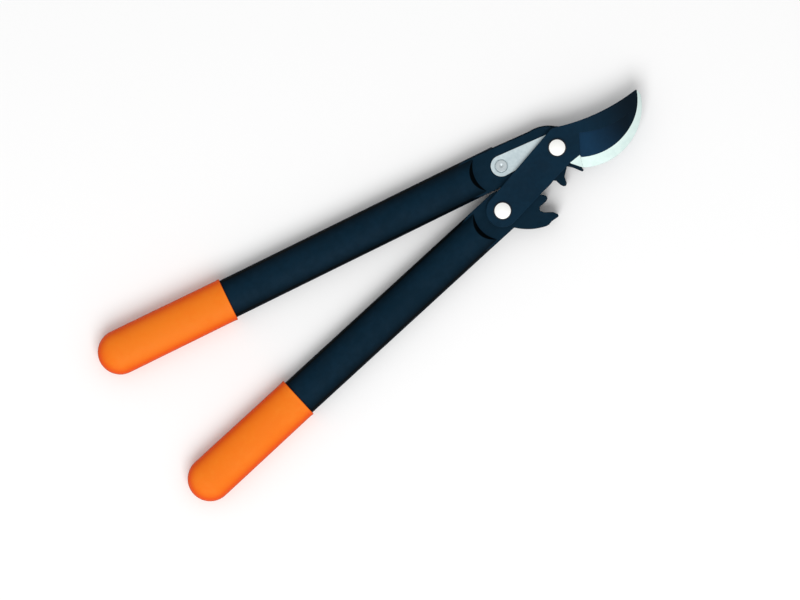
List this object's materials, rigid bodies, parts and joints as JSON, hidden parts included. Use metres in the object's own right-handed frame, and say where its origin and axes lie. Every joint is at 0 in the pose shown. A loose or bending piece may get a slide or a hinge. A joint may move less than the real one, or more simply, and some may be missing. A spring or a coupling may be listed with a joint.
{
  "type": "geared bypass lopping shears",
  "caption": "Long-handled bypass shears with sleeve grips; toothed heads on both handles mesh behind a one-piece blade and link plate to multiply the closing force on a riveted hook.",
  "frame": {"origin": "main pivot axis at the plane the tool rests on, jaws closed", "axes": "+X along the bisector of the handles towards the blade tip, +Z along the pivots towards the blade side"},
  "size_m": [0.4578, 0.1537, 0.0247],
  "materials": {
    "navy_nylon": "satin glass-filled nylon, fine moulded grain",
    "orange_sleeve": "smooth satin elastomer sleeve",
    "plug_plastic": "plain moulded polypropylene",
    "coated_steel": "blue-black low-friction coating, ground bright along the cutting edge",
    "ground_steel": "fine ground and tumbled steel",
    "bronze": "turned sintered bronze",
    "slide_polymer": "smooth acetal",
    "bright_plating": "bright nickel plating",
    "zinc_plate": "zinc plated"
  },
  "bodies": {
    "hook_handle": {"upper_handle": "navy_nylon", "upper_grip": "orange_sleeve", "upper_end_plug": "plug_plastic", "hook": "ground_steel", "tang_rivet": "bright_plating", "tang_rivet_burr": "zinc_plate", "main_pivot_bolt": "bright_plating", "main_pivot_nut": "zinc_plate", "main_pivot_bush": "bronze", "main_head_washer": "zinc_plate", "main_nut_washer": "zinc_plate"},
    "blade": {"blade": "coated_steel"},
    "lever_handle": {"lower_handle": "navy_nylon", "lower_grip": "orange_sleeve", "lower_end_plug": "plug_plastic", "link_slide_washer": "slide_polymer", "link_pivot_bolt": "bright_plating", "link_pivot_nut": "zinc_plate", "link_pivot_bush": "bronze", "link_head_washer": "zinc_plate", "link_nut_washer": "zinc_plate"}
  },
  "joints": [
    {"name": "blade_pivot", "type": "hinge", "parent": "hook_handle", "child": "blade", "pos_m": [0, 0, 0.019], "axis": [0, 0, 1], "range_deg": [0, 45]},
    {"name": "lever_pivot", "type": "hinge", "parent": "blade", "child": "lever_handle", "pos_m": [-0.06178, -0.01632, 0.019], "axis": [0, 0, 1], "range_deg": [0, 40.91]}
  ],
  "couplings": [
    {"joint": "lever_pivot", "follows": "blade_pivot", "ratio": 0.90909}
  ]
}
